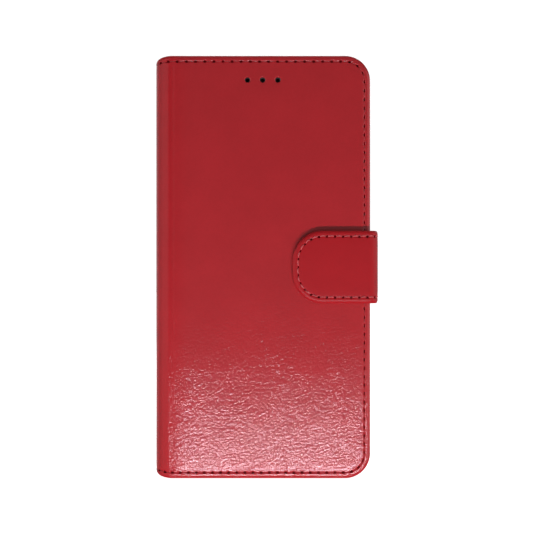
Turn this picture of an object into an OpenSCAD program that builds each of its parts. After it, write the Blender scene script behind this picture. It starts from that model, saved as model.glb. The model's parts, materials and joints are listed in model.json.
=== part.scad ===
// Book-style wallet case for a phone, closed and standing on its bottom edge.
// X runs from the spine to the fore-edge, Y from the front cover to the back cover, Z up the case.
// The origin is the middle of the closed case's footprint, strap included.
// Each cover is a leather skin, a board and a lining. The spine is the same sandwich, bent round.
// A soft tray on the back cover holds the phone, and a magnetic strap holds the covers together.

/* [Covers] */
// Height of the covers
cover_h = 165; // [162:1:185]
// Width of the closed case from the spine to the fore-edge
case_w = 84; // [83:1:96]
// Thickness of the closed case, without the strap
case_t = 17; // [17:0.5:20]
// Corner radius of the covers at the fore-edge
corner_r = 9.8; // [6:0.2:12]
// Radius of the spine's two rounded long edges
spine_r = 6.5; // [5:0.5:8]

/* [Layers] */
// Thickness of the leather skin
skin_t = 0.8; // [0.6:0.1:0.9]
// Thickness of the stiffening board
board_t = 0.9; // [0.7:0.1:1.0]
// Thickness of the lining
lining_t = 0.5; // [0.4:0.1:0.6]
// Thickness of the skin where it turns over an edge
turn_t = 0.6; // [0.4:0.1:0.8]

/* [Stitching] */
// Distance from an edge to the middle of its seam
seam_inset = 2.3; // [2:0.1:3]
// Width of the sewing thread's line
thread_w = 0.6; // [0.4:0.1:0.8]
// Depth to which the thread is pulled into the leather
thread_d = 0.3; // [0.2:0.05:0.4]

/* [Speaker holes] */
// Diameter of each of the three holes
hole_d = 2.1; // [1.5:0.1:3]
// Distance between neighbouring holes
hole_pitch = 5.9; // [4:0.1:8]
// Distance from the top edge to the holes
hole_drop = 9.5; // [7:0.5:14]

/* [Strap] */
// Height of the strap
strap_h = 28.3; // [26:0.1:34]
// Thickness of the strap
strap_t = 2.1; // [1.8:0.1:2.6]
// How far the flap reaches over the front cover
strap_reach = 30.4; // [26:0.2:40]
// Corner radius of the flap's free end
flap_r = 11.8; // [6:0.2:13]
// Gap between the fore-edge and the strap
strap_gap = 0.9; // [0.8:0.1:2]
// Thickness of the strap's outer leather over its core
strap_skin_t = 0.7; // [0.5:0.1:0.9]
// Length of the tab that anchors the strap inside the back cover
anchor_len = 12; // [8:1:20]
// Thickness of the anchor tab
anchor_t = 0.6; // [0.4:0.1:0.8]

/* [Magnets] */
// Diameter of each magnet disc
magnet_d = 10; // [8:0.5:11]
// Distance between the upper and lower disc
magnet_pitch = 12.6; // [12:0.2:14]

/* [Phone tray] */
// Width of the phone
phone_w = 74; // [70:0.5:74]
// Height of the phone
phone_h = 157; // [140:1:158]
// Thickness of the phone
phone_t = 8; // [7:0.1:8]
// Corner radius of the phone
phone_r = 8.4; // [5:0.2:12]
// Thickness of the tray's walls and floor
tray_wall = 1.2; // [1:0.1:1.2]
// Width by which the tray's lip overhangs the phone
lip_w = 0.8; // [0.4:0.1:1.5]
// Thickness of the tray's lip
lip_t = 0.8; // [0.5:0.1:0.8]

/* [Camera window] */
// Width of the camera window
window_w = 24; // [12:1:40]
// Height of the camera window
window_h = 34; // [12:1:40]
// Corner radius of the camera window
window_r = 5; // [2:0.5:6]

/* [Pockets] */
// Thickness of the cash pocket's panel
cash_t = 0.5; // [0.3:0.05:0.5]
// Thickness of each card pocket
card_t = 0.4; // [0.3:0.05:0.4]
// Height of the card pockets
card_h = 92; // [88:1:100]
// Step from the mouth of one card pocket to the next
card_step = 10; // [6:1:12]

/* [Hidden] */
$fn = 64;

// Gap between two pieces that fold against each other
turn_gap = 0.3;
// Overshoot of a cut past the face that it opens
past = 1;
cover_t = skin_t + board_t + lining_t;

// The closed case with its strap is centred on the origin
fore_x = case_w / 2 - (strap_gap + strap_t) / 2;
crease_x = fore_x - case_w + spine_r;
mid_x = fore_x - case_w / 2;
front_y = (turn_gap + strap_t - case_t) / 2;
back_y = front_y + case_t;
front_inner_y = front_y + cover_t;
back_inner_y = back_y - cover_t;

// Strap: its side runs round the fore-edge, and its flap lies over the front cover
strap_x = fore_x + strap_gap;
strap_low_z = (cover_h - strap_h) / 2;
flap_x = fore_x - strap_reach;
flap_y = front_y - turn_gap;
side_end_y = back_y - strap_t;
strap_lining_t = strap_skin_t;
stiffener_t = strap_t - strap_skin_t - strap_lining_t;
// Thickness of the strap's leather where it turns over an edge
strap_turn = 0.5;
anchor_y = back_y - skin_t;
anchor_end_x = strap_x - turn_gap;
// How far the discs' middle lies from the flap's free end
magnet_inset = 9.5;
magnet_x = flap_x + magnet_inset;

// Tray: it lies against the back lining, a little inside the fore-edge
pad_t = 0.3;
tray_margin = 0.9;
tray_w = phone_w + 2 * tray_wall;
tray_h = phone_h + 2 * tray_wall;
tray_r = phone_r + tray_wall;
tray_x = fore_x - tray_margin - tray_w;
tray_z = (cover_h - tray_h) / 2;
tray_back_y = back_inner_y - pad_t;
tray_floor_y = tray_back_y - tray_wall;
tray_front_y = tray_floor_y - phone_t - lip_t;
// Size of the tape that holds the tray
pad_w = 60;
pad_h = 128;

// Distances of the camera window from the fore-edge and from the top edge
window_edge = 6.5;
window_drop = 9;
window_x = fore_x - window_edge - window_w;
window_z = cover_h - window_drop - window_h;
// The gap for the charging port and the lower speaker, and that for the side buttons
port_w = 44;
port_h = 5.4;
button_z = 100;
button_h = 38;

// Pockets: sheets stacked like shingles, with their mouths towards the spine.
// The cash pocket stops short of the crease and of the speaker holes
cash_setback = 7;
cash_drop = 19;
cash_inset = 1;
cash_mouth_x = crease_x + cash_setback;
cash_top_z = cover_h - cash_drop;
// The card pockets lie inside the edge seam, and the widest comes nearest to the crease
card_low_z = 28;
card_fore_gap = 4;
card_setback = 15;
card_seam = 1.6;
mouth_r = 3;
card_fore_x = fore_x - card_fore_gap;
card_mouth_x = crease_x + card_setback;
card_y = [for (i = [0:3]) front_inner_y + cash_t + i * card_t];

// A flat layer between two depths, drawn as its outline seen from the front
module layer(from_y, to_y) {
    translate([0, to_y, 0]) rotate([90, 0, 0]) linear_extrude(to_y - from_y) children();
}

// A round-cornered rectangle with its lower left corner at the origin
module rounded(w, h, r) {
    translate([r, 0]) square([w - 2 * r, h]);
    translate([0, r]) square([w, h - 2 * r]);
    for (x = [r, w - r]) for (z = [r, h - r]) translate([x, z]) circle(r);
}

// A cover's outline: square at the crease, with round corners at the fore-edge
module cover_outline(inset = 0, start_x = crease_x + turn_gap / 2) {
    r = corner_r - inset;
    translate([start_x, inset]) square([fore_x - corner_r - start_x, cover_h - 2 * inset]);
    translate([start_x, corner_r]) square([fore_x - inset - start_x, cover_h - 2 * corner_r]);
    for (z = [corner_r, cover_h - corner_r]) translate([fore_x - corner_r, z]) circle(r);
}

// The line of the seam round a cover's three free edges
module cover_seam() {
    difference() {
        cover_outline(seam_inset - thread_w / 2);
        cover_outline(seam_inset + thread_w / 2, crease_x - past);
    }
}

// The closed end of the spine's section, seen from above and cut off at the creases
module spine_outline(inset) {
    r = spine_r - inset;
    end_x = crease_x - turn_gap / 2;
    intersection() {
        union() {
            for (y = [front_y + spine_r, back_y - spine_r]) translate([crease_x, y]) circle(r);
            translate([crease_x - r, front_y + spine_r]) square([r, case_t - 2 * spine_r]);
        }
        translate([crease_x - spine_r - past, front_y - past])
            square([end_x - crease_x + spine_r + past, case_t + 2 * past]);
    }
}

// A wall of the spine between two depths below its outer face
module spine_wall(from, to, low_z, high_z) {
    translate([0, 0, low_z]) linear_extrude(high_z - low_z) difference() {
        spine_outline(from);
        spine_outline(to);
    }
}

// The turned skin of a cover: a face with a wall round its three free edges
module cover_skin(outer_y, inner_y) {
    face_y = outer_y + sign(inner_y - outer_y) * skin_t;
    over_y = inner_y + sign(inner_y - outer_y) * past;
    difference() {
        layer(min(outer_y, inner_y), max(outer_y, inner_y)) cover_outline();
        layer(min(face_y, over_y), max(face_y, over_y)) cover_outline(turn_t, crease_x - past);
    }
}

// The groove of a cover's seam, on the face at this depth
module seam_groove(face_y, inward) {
    bottom_y = face_y + inward * thread_d;
    over_y = face_y - inward * past;
    layer(min(bottom_y, over_y), max(bottom_y, over_y)) cover_seam();
}

// The line of thread that lies in a seam, level with the face
module seam_thread(face_y, inward) {
    bottom_y = face_y + inward * thread_d;
    layer(min(bottom_y, face_y), max(bottom_y, face_y)) children();
}

module speaker_holes() {
    for (i = [-1:1])
        translate([mid_x + i * hole_pitch, front_y - past, cover_h - hole_drop])
            rotate([-90, 0, 0]) cylinder(d = hole_d, h = cover_t + 2 * past);
}

// Two discs, one above the other, between two depths
module discs(from_y, to_y) {
    for (side = [-1, 1])
        translate([magnet_x, from_y, cover_h / 2 + side * magnet_pitch / 2])
            rotate([-90, 0, 0]) cylinder(d = magnet_d, h = to_y - from_y);
}

module cash_outline() {
    intersection() {
        cover_outline(cash_inset);
        translate([cash_mouth_x, 0]) square([case_w, cash_top_z]);
    }
}

// One card pocket's sheet, with the two corners of its mouth rounded
module card_outline(i) {
    x = card_mouth_x + (i - 1) * card_step;
    translate([x, card_low_z]) difference() {
        rounded(card_fore_x - x + 2 * mouth_r, card_h, mouth_r);
        translate([card_fore_x - x, -past]) square([4 * mouth_r, card_h + 2 * past]);
    }
}

// The stitches of one card pocket: along its top and bottom, where no later pocket covers them
module card_seams(i) {
    x = card_mouth_x + (i - 1) * card_step;
    end_x = i < 3 ? x + card_step : card_fore_x - card_seam + thread_w / 2;
    for (z = [card_low_z + card_seam, card_low_z + card_h - card_seam])
        translate([x + mouth_r, z - thread_w / 2]) square([end_x - x - mouth_r, thread_w]);
    if (i == 3)
        translate([end_x - thread_w, card_low_z + card_seam])
            square([thread_w, card_h - 2 * card_seam]);
}

module card_pocket(i) {
    difference() {
        layer(card_y[i - 1], card_y[i]) card_outline(i);
        layer(card_y[i] - thread_d, card_y[i] + past) card_seams(i);
    }
}

module tray_outline(inset = 0) {
    translate([tray_x + inset, tray_z + inset])
        rounded(tray_w - 2 * inset, tray_h - 2 * inset, tray_r - inset);
}

module window_outline() {
    translate([window_x, window_z]) rounded(window_w, window_h, window_r);
}

// The pocket in the back cover that the strap's anchor tab is glued into
module anchor_space(end_x) {
    translate([fore_x - anchor_len, anchor_y - anchor_t, strap_low_z])
        cube([end_x - fore_x + anchor_len, anchor_t, strap_h]);
}

// The strap flap's outline: square at the fold, with a round free end
module flap_outline(inset = 0, over = 0) {
    r = flap_r - inset;
    low_z = strap_low_z + inset;
    high_z = strap_low_z + strap_h - inset;
    end_x = strap_x + over;
    translate([flap_x + flap_r, low_z]) square([end_x - flap_x - flap_r, high_z - low_z]);
    translate([flap_x + inset, strap_low_z + flap_r])
        square([end_x - flap_x - inset, strap_h - 2 * flap_r]);
    for (z = [strap_low_z + flap_r, strap_low_z + strap_h - flap_r])
        translate([flap_x + flap_r, z]) circle(r);
}

module flap_seam() {
    difference() {
        flap_outline(seam_inset - thread_w / 2);
        flap_outline(seam_inset + thread_w / 2, past);
    }
}

// A block of the strap's side between two distances from its inner face
module side_block(from, to, inset = 0) {
    translate([strap_x + from, front_y, strap_low_z + inset])
        cube([to - from, side_end_y - front_y, strap_h - 2 * inset]);
}

// The two seam lines along the strap's side
module side_seams(top_x) {
    for (z = [strap_low_z + seam_inset, strap_low_z + strap_h - seam_inset])
        translate([strap_x + strap_t - thread_d, front_y, z - thread_w / 2])
            cube([top_x, side_end_y - front_y, thread_w]);
}

module front_skin() {
    color("firebrick") difference() {
        cover_skin(front_y, front_inner_y);
        seam_groove(front_y, 1);
        speaker_holes();
    }
}

module front_board() {
    color("burlywood") difference() {
        layer(front_y + skin_t, front_y + skin_t + board_t) cover_outline(turn_t);
        discs(front_y, front_inner_y);
        speaker_holes();
    }
}

module front_lining() {
    color("brown") difference() {
        layer(front_inner_y - lining_t, front_inner_y) cover_outline(turn_t);
        layer(front_inner_y - thread_d, front_inner_y + past) difference() {
            cover_seam();
            cash_outline();
        }
        speaker_holes();
    }
}

module front_keeper_discs() {
    color("silver") discs(front_y + skin_t, front_y + skin_t + board_t);
}

module cash_pocket() {
    color("brown") difference() {
        layer(front_inner_y, front_inner_y + cash_t) cash_outline();
        layer(front_inner_y + cash_t - thread_d, front_inner_y + cash_t + past) cover_seam();
    }
}

module card_pocket_1() {
    color("brown") card_pocket(1);
}

module card_pocket_2() {
    color("brown") card_pocket(2);
}

module card_pocket_3() {
    color("brown") card_pocket(3);
}

// The needle thread outside and the bobbin thread inside, which crosses onto the cash pocket
module front_edge_thread() {
    color("indianred") {
        seam_thread(front_y, 1) cover_seam();
        seam_thread(front_inner_y, -1) difference() {
            cover_seam();
            cash_outline();
        }
        seam_thread(front_inner_y + cash_t, -1) intersection() {
            cover_seam();
            cash_outline();
        }
    }
}

module pocket_thread() {
    color("indianred") for (i = [1:3]) seam_thread(card_y[i], -1) card_seams(i);
}

module spine_skin() {
    color("firebrick") difference() {
        spine_wall(0, cover_t, 0, cover_h);
        spine_wall(skin_t, cover_t + past, turn_t, cover_h - turn_t);
        for (z = [seam_inset, cover_h - seam_inset])
            spine_wall(-past, thread_d, z - thread_w / 2, z + thread_w / 2);
    }
}

module spine_board() {
    color("burlywood") spine_wall(skin_t, skin_t + board_t, turn_t, cover_h - turn_t);
}

module spine_lining() {
    color("brown") difference() {
        spine_wall(skin_t + board_t, cover_t, turn_t, cover_h - turn_t);
        for (z = [seam_inset, cover_h - seam_inset])
            spine_wall(cover_t - thread_d, cover_t + past, z - thread_w / 2, z + thread_w / 2);
    }
}

module spine_thread() {
    color("indianred") for (z = [seam_inset, cover_h - seam_inset]) {
        spine_wall(0, thread_d, z - thread_w / 2, z + thread_w / 2);
        spine_wall(cover_t - thread_d, cover_t, z - thread_w / 2, z + thread_w / 2);
    }
}

module back_skin() {
    color("firebrick") difference() {
        cover_skin(back_y, back_inner_y);
        seam_groove(back_y, -1);
        anchor_space(fore_x + past);
        layer(back_inner_y - past, back_y + past) window_outline();
    }
}

module back_board() {
    color("burlywood") difference() {
        layer(back_y - skin_t - board_t, back_y - skin_t) cover_outline(turn_t);
        anchor_space(fore_x + past);
        layer(back_inner_y - past, back_y + past) window_outline();
    }
}

module back_lining() {
    color("brown") difference() {
        layer(back_inner_y, back_inner_y + lining_t) cover_outline(turn_t);
        seam_groove(back_inner_y, 1);
        layer(back_inner_y - past, back_y + past) window_outline();
    }
}

module back_edge_thread() {
    color("indianred") {
        seam_thread(back_y, -1) cover_seam();
        seam_thread(back_inner_y, 1) cover_seam();
    }
}

module tray_adhesive_pad() {
    color("gainsboro") layer(tray_back_y, back_inner_y) difference() {
        translate([tray_x + (tray_w - pad_w) / 2, tray_z + (tray_h - pad_h) / 2])
            rounded(pad_w, pad_h, mouth_r);
        translate([window_x - past, window_z - past]) square([case_w, cover_h]);
    }
}

module phone_tray() {
    port_x = tray_x + (tray_w - port_w) / 2;
    wall_y = tray_floor_y - (phone_t + port_h) / 2;
    color("#1c1c1e") difference() {
        layer(tray_front_y, tray_back_y) tray_outline();
        layer(tray_front_y + lip_t, tray_floor_y) tray_outline(tray_wall);
        layer(tray_front_y - past, tray_floor_y) tray_outline(tray_wall + lip_w);
        layer(tray_floor_y - past, tray_back_y + past) window_outline();
        translate([port_x, wall_y, tray_z - past]) cube([port_w, port_h, tray_wall + 2 * past]);
        translate([tray_x + tray_w - tray_wall - past, wall_y, button_z])
            cube([tray_wall + 2 * past, port_h, button_h]);
    }
}

module strap_anchor_tab() {
    color("firebrick") anchor_space(anchor_end_x);
}

module strap_side_skin() {
    color("firebrick") difference() {
        side_block(0, strap_t);
        side_block(-past, strap_lining_t, strap_turn);
        side_seams(past);
    }
}

module strap_side_lining() {
    color("brown") side_block(0, strap_lining_t, strap_turn);
}

module strap_side_thread() {
    color("indianred") side_seams(thread_d);
}

module strap_flap_skin() {
    color("firebrick") difference() {
        layer(flap_y - strap_t, flap_y) flap_outline();
        layer(flap_y - strap_t + strap_skin_t, flap_y + past) flap_outline(strap_turn, past);
        layer(flap_y - strap_t - past, flap_y - strap_t + thread_d) flap_seam();
    }
}

module strap_flap_stiffener() {
    color("burlywood") difference() {
        layer(flap_y - strap_lining_t - stiffener_t, flap_y - strap_lining_t) flap_outline(strap_turn);
        discs(flap_y - strap_t, flap_y);
    }
}

module strap_flap_lining() {
    color("brown") layer(flap_y - strap_lining_t, flap_y) flap_outline(strap_turn);
}

module strap_flap_thread() {
    color("indianred") layer(flap_y - strap_t, flap_y - strap_t + thread_d) flap_seam();
}

module flap_magnets() {
    color("silver") discs(flap_y - strap_lining_t - stiffener_t, flap_y - strap_lining_t);
}

front_skin();
front_board();
front_lining();
front_keeper_discs();
cash_pocket();
card_pocket_1();
card_pocket_2();
card_pocket_3();
front_edge_thread();
pocket_thread();
spine_skin();
spine_board();
spine_lining();
spine_thread();
back_skin();
back_board();
back_lining();
back_edge_thread();
tray_adhesive_pad();
phone_tray();
strap_anchor_tab();
strap_side_skin();
strap_side_lining();
strap_side_thread();
strap_flap_skin();
strap_flap_stiffener();
strap_flap_lining();
strap_flap_thread();
flap_magnets();
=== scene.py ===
"""Phone wallet case: leather, stitching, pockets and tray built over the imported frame.

Leather and lining are sheets. A sheet is drawn flat, as s (along it, from the middle of the spine
or of the strap's side) and z (up it), and a place function wraps it round the case. Depth runs
from the sheet's shown face inwards. Lengths are in millimetres until a mesh is made.
"""

import json
import math

import bmesh
import bpy
import numpy as np
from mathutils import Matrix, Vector, noise
from mathutils.geometry import delaunay_2d_cdt


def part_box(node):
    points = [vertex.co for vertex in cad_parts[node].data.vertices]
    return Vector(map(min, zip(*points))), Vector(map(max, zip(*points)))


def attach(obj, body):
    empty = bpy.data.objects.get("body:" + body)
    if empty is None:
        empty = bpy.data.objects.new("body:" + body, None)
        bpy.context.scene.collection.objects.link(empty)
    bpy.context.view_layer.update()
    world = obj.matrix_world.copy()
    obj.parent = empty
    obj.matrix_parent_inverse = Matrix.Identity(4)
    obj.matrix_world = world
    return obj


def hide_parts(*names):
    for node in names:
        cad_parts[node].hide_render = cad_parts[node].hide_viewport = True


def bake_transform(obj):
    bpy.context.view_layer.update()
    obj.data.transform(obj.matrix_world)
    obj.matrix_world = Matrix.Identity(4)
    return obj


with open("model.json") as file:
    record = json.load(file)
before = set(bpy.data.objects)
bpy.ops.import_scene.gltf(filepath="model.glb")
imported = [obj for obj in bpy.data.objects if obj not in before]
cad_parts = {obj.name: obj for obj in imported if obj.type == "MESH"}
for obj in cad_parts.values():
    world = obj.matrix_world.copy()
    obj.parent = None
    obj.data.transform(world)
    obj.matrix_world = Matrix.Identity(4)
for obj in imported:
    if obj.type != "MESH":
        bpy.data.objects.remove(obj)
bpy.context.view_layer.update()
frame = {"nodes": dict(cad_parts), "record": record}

MM = 0.001


# ---------------------------------------------------------------- measures from the frame
def span(node):
    """Lowest and highest corner of a CAD node, in millimetres."""
    low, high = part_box(node)
    return np.array(low) / MM, np.array(high) / MM


skin_low, skin_high = span("front_skin")
spine_low, spine_high = span("spine_skin")
tray_low, tray_high = span("phone_tray")
flap_low, flap_high = span("strap_flap_skin")
side_low, side_high = span("strap_side_skin")
tab_low, tab_high = span("strap_anchor_tab")
cash_low, cash_high = span("cash_pocket")

CASE_H = skin_high[2]
FORE_X = skin_high[0]
FRONT_Y, BACK_Y = skin_low[1], span("back_skin")[1][1]
MID_Y = (FRONT_Y + BACK_Y) / 2
COVER_T = skin_high[1] - skin_low[1]
SKIN_T = span("front_board")[0][1] - skin_low[1]
CREASE_X = (skin_low[0] + spine_high[0]) / 2
SPINE_X = spine_low[0]
SPINE_R = CREASE_X - SPINE_X
SPINE_FLAT = (BACK_Y - FRONT_Y) / 2 - SPINE_R
CREASE_S = SPINE_FLAT + SPINE_R * math.pi / 2
COVER_S = CREASE_S + FORE_X - CREASE_X

STRAP_T = flap_high[1] - flap_low[1]
STRAP_LOW, STRAP_HIGH = flap_low[2], flap_high[2]
STRAP_IN_X, STRAP_OUT_X = side_low[0], side_high[0]
FOLD_Y = flap_high[1]
ANCHOR_Y = tab_high[1] - 0.05 - STRAP_T
SIDE_MID_Y = (side_low[1] + side_high[1]) / 2

# Sizes of the leatherwork
CORNER_R = 9.8
TURN_T = 0.6
LINING_T = 0.5
SEAM_INSET = 2.3
GROOVE = 0.08
# A seam's first stitch is longer than the pitch by the drift, and its last as much shorter
STITCH_PITCH, STITCH_DRIFT = 3.35, 0.075
BOARD_GAP = 1.5
# How far the spine's ends are drawn in, and over what lengths along the sheet and up it
SPINE_DRAW, DRAW_FROM, DRAW_S, DRAW_Z = 2.3, 2.6, 12, 14
FLAP_R = 11.8
FOLD_BOW = 1.5

# Spacing of a mesh's points, along outlines and up the columns where a sheet folds
PATH_STEP = 0.3
COLUMN_STEP = 1.4


# ---------------------------------------------------------------- flat geometry
def rounded_path(corners, step, closed=True):
    """Points along a clockwise outline of (x, z, radius) corners, and the direction inwards at each."""
    points, inward = [], []
    count = len(corners)
    middle = range(count) if closed else range(1, count - 1)
    arcs = {}
    for i in middle:
        x, z, r = corners[i]
        here = np.array([x, z], float)
        before = here - np.array(corners[i - 1][:2], float)
        after = np.array(corners[(i + 1) % count][:2], float) - here
        before, after = before / np.linalg.norm(before), after / np.linalg.norm(after)
        turn = math.acos(np.clip(before @ after, -1, 1))
        reach = r * math.tan(turn / 2)
        right = np.array([before[1], -before[0]])
        centre = here - before * reach + right * r
        start = math.atan2(-right[1], -right[0])
        steps = max(3, int(math.ceil(r * turn / step)))
        angles = start - np.linspace(0, turn, steps + 1)
        out = np.stack([np.cos(angles), np.sin(angles)], 1)
        arcs[i] = (centre + r * out, -out)
    if not closed:
        first, second = np.array(corners[0][:2], float), np.array(corners[1][:2], float)
        last, previous = np.array(corners[-1][:2], float), np.array(corners[-2][:2], float)
        for i, end, ahead in ((0, first, second - first), (count - 1, last, last - previous)):
            ahead = ahead / np.linalg.norm(ahead)
            arcs[i] = (end[None], np.array([[ahead[1], -ahead[0]]]))
    for i in range(count):
        line, facing = arcs[i]
        points += list(line)
        inward += list(facing)
        if i < count - 1 or closed:
            goal = arcs[(i + 1) % count][0][0]
            gap = goal - line[-1]
            parts = max(1, int(round(np.linalg.norm(gap) / step)))
            for k in range(1, parts):
                points.append(line[-1] + gap * k / parts)
                inward.append(facing[-1])
    return np.array(points), np.array(inward)


def box_path(left, right, low, high, radii, step):
    """A closed outline round a box, with radii for its corners, clockwise from the top left."""
    return rounded_path(list(zip((left, right, right, left), (high, high, low, low), radii)), step)


def circle_path(s, z, r, count):
    angles = -np.linspace(0, 2 * math.pi, count, endpoint=False)
    out = np.stack([np.cos(angles), np.sin(angles)], 1)
    return np.array([s, z]) + r * out, -out


def inside(points, loop):
    """Which points lie inside a closed loop."""
    x, z = points[:, 0][:, None], points[:, 1][:, None]
    x0, z0 = loop[:, 0], loop[:, 1]
    x1, z1 = np.roll(x0, -1), np.roll(z0, -1)
    rise = np.where(z1 == z0, 1e-12, z1 - z0)
    crosses = ((z0 > z) != (z1 > z)) & (x < (x1 - x0) * (z - z0) / rise + x0)
    return crosses.sum(1) % 2 == 1


def clear_of(points, loop, gap):
    """Which points are further than gap from every point of a loop."""
    keep = np.ones(len(points), bool)
    for part in np.array_split(loop, max(1, len(loop) // 200)):
        away = points[:, None] - part[None]
        keep &= (away**2).sum(2).min(1) > gap * gap
    return keep


def fill(loop, holes, pitch, columns=()):
    """Triangles over the inside of a loop, with holes left open: (points, triangles).

    Where the sheet bends, its points stand in straight columns, so that it folds evenly.
    """
    low, high = loop.min(0), loop.max(0)
    across = np.arange(low[0] + pitch / 2, high[0], pitch)
    rows = np.arange(low[1] + pitch / 2, high[1], pitch * 0.87)
    grid = np.array([(x + (pitch / 2 if k % 2 else 0), z) for k, z in enumerate(rows) for x in across])
    grid = grid[inside(grid, loop) & clear_of(grid, loop, pitch * 0.6)]
    if len(columns):
        grid = grid[(grid[:, 0] < min(columns) - 0.5) | (grid[:, 0] > max(columns) + 0.5)]
        rows = np.arange(low[1] + 0.7, high[1], COLUMN_STEP)
        ladder = np.array([(x, z) for x in columns for z in rows])
        ladder = ladder[inside(ladder, loop) & clear_of(ladder, loop, 0.35)]
        grid = np.concatenate([grid, ladder])
    for hole in holes:
        grid = grid[~inside(grid, hole) & clear_of(grid, hole, pitch * 0.45)]
    coords, edges = [], []
    for ring in (loop, *holes):
        first = len(coords)
        coords += [Vector(p) for p in ring]
        edges += [(first + k, first + (k + 1) % len(ring)) for k in range(len(ring))]
    coords += [Vector(p) for p in grid]
    found, _, faces, _, _, _ = delaunay_2d_cdt(coords, edges, [], 0, 1e-6)
    points = np.array([tuple(p) for p in found])
    faces = np.array([f for f in faces if len(f) == 3])
    centres = points[faces].mean(1)
    keep = inside(centres, loop)
    for hole in holes:
        keep &= ~inside(centres, hole)
    return points, faces[keep]


def bands(rows, count, turns):
    """Quads that join each row of count points to the next one."""
    return [
        (m * count + k, m * count + (k + 1) % count, (m + 1) * count + (k + 1) % count, (m + 1) * count + k)
        for m in range(rows - 1)
        for k in range(turns)
    ]


# ---------------------------------------------------------------- seams
class Seam:
    """A line of stitches along an outline at one inset, with a hole at each end of every stitch."""

    def __init__(self, path, inset, pitch, drift=0.0):
        self.inset = inset
        self.line = path[0] + path[1] * inset
        steps = np.linalg.norm(np.diff(self.line, axis=0), axis=1)
        self.along = np.concatenate([[0], np.cumsum(steps)])
        self.length = self.along[-1]
        count = max(2, int(round(self.length / pitch)))
        share = np.linspace(0, 1, count + 1)
        self.holes = self.length * ((1 + drift) * share - drift * share**2)

    def spot(self, u):
        """Flat position at a distance along the seam."""
        return np.stack([np.interp(u, self.along, self.line[:, k]) for k in (0, 1)], -1)

    def at(self, u):
        """Flat position and direction at a distance along the seam."""
        u = np.asarray(u, float)
        way = self.spot(np.clip(u + 0.1, 0, self.length)) - self.spot(np.clip(u - 0.1, 0, self.length))
        return self.spot(u), way / np.linalg.norm(way, axis=-1, keepdims=True)


# ---------------------------------------------------------------- sheets
def mesh_object(name, mesh, material, sharp):
    """Turns a bmesh into an object in the scene, smooth except at edges sharper than an angle."""
    bmesh.ops.recalc_face_normals(mesh, faces=mesh.faces)
    data = bpy.data.meshes.new(name)
    mesh.to_mesh(data)
    mesh.free()
    data.shade_smooth()
    data.set_sharp_from_angle(angle=math.radians(sharp))
    data.materials.append(material)
    made = bpy.data.objects.new(name, data)
    bpy.context.scene.collection.objects.link(made)
    return made


def sheet_object(name, place, parts, material, shine):
    """Joins parts of (flat points, depths, needle values, faces) into one closed mesh."""
    mesh = bmesh.new()
    flat_layer = mesh.verts.layers.float_vector.new("sheet")
    needle_layer = mesh.verts.layers.float.new("needle")
    shine_layer = mesh.verts.layers.float.new("shine")
    for points, depths, needles, faces in parts:
        solid = place(points[:, 0], points[:, 1], depths) * MM
        verts = [mesh.verts.new(p) for p in solid.tolist()]
        polish = shine(points)
        for vert, (s, z), depth, needle, gleam in zip(verts, points.tolist(), depths, needles, polish):
            vert[flat_layer] = (s * MM, z * MM, float(depth) * MM)
            vert[needle_layer] = float(needle)
            vert[shine_layer] = float(gleam)
        for face in faces:
            mesh.faces.new([verts[k] for k in face])
    bmesh.ops.remove_doubles(mesh, verts=mesh.verts, dist=3e-6)
    open_edges = [e for e in mesh.edges if e.is_boundary]
    if open_edges:
        caps = bmesh.ops.holes_fill(mesh, edges=open_edges, sides=0)["faces"]
        bmesh.ops.triangulate(mesh, faces=caps, ngon_method="EAR_CLIP")
    return mesh_object(name, mesh, material, 50)


def no_relief(points):
    return np.zeros(len(points))


def even_shine(points):
    return np.ones(len(points))


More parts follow.
